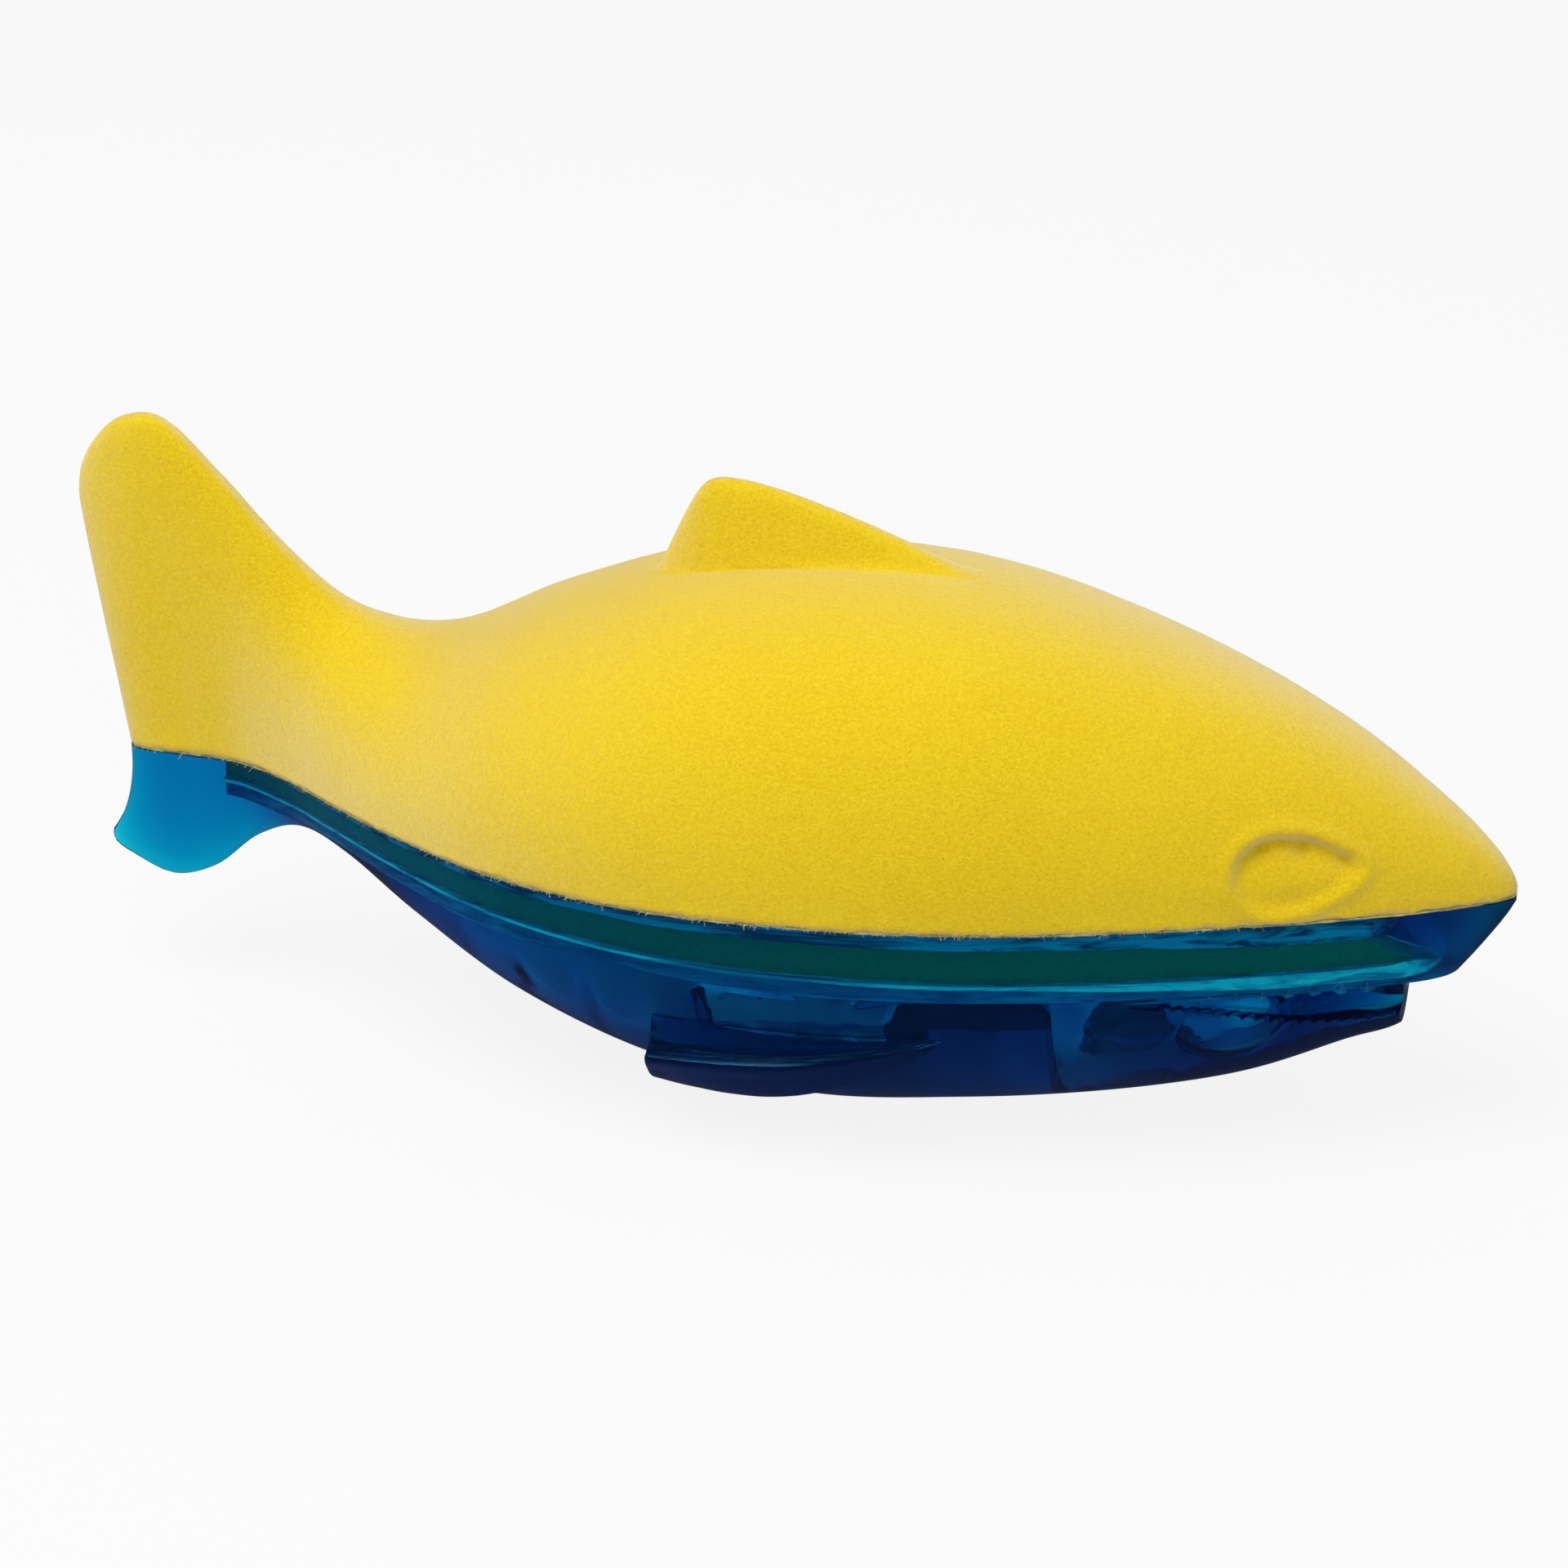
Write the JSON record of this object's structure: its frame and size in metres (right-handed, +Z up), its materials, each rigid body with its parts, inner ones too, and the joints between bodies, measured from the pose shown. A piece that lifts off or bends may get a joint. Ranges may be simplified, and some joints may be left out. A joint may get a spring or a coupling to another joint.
{
  "type": "squeaky fish toy",
  "caption": "Squeaky floating fish toy with a soft flocked foam back on a hollow see-through rubber belly that holds a reed squeaker.",
  "frame": {"origin": "on the surface that the belly rests on, midway between the nose and the rear of the tail, on the plane of symmetry", "axes": "+X towards the nose, +Y towards the fish's left side, +Z up"},
  "size_m": [0.19, 0.065, 0.0822],
  "materials": {
    "flocked_foam": "soft moulded foam with a fine flocked skin",
    "adhesive": "thin dried glue film, slightly crusted at its edge",
    "clear_blue_rubber": "glossy translucent thermoplastic rubber",
    "squeaker_plastic": "natural moulded polyethylene",
    "reed_brass": "thin rolled strip"
  },
  "bodies": {
    "belly": {"rubber_belly": "clear_blue_rubber", "squeaker_case": "squeaker_plastic", "squeaker_cap": "squeaker_plastic", "reed_bed": "squeaker_plastic", "reed_collar": "squeaker_plastic"},
    "back": {"foam_back": "flocked_foam", "glue_seam": "adhesive"},
    "reed": {"reed": "reed_brass"}
  },
  "joints": [
    {"name": "squeeze", "type": "slide", "parent": "belly", "child": "back", "axis": [0, 0, -1], "range_m": [0, 0.006], "stiffness_N_per_m": 600, "deforming": ["rubber_belly"]},
    {"name": "reed_swing", "type": "hinge", "parent": "belly", "child": "reed", "pos_m": [0.04655, 0.00028, 0.0112], "axis": [-1, 0, 0], "range_deg": [-1, 6], "stiffness_Nm_per_rad": 0.000005}
  ]
}
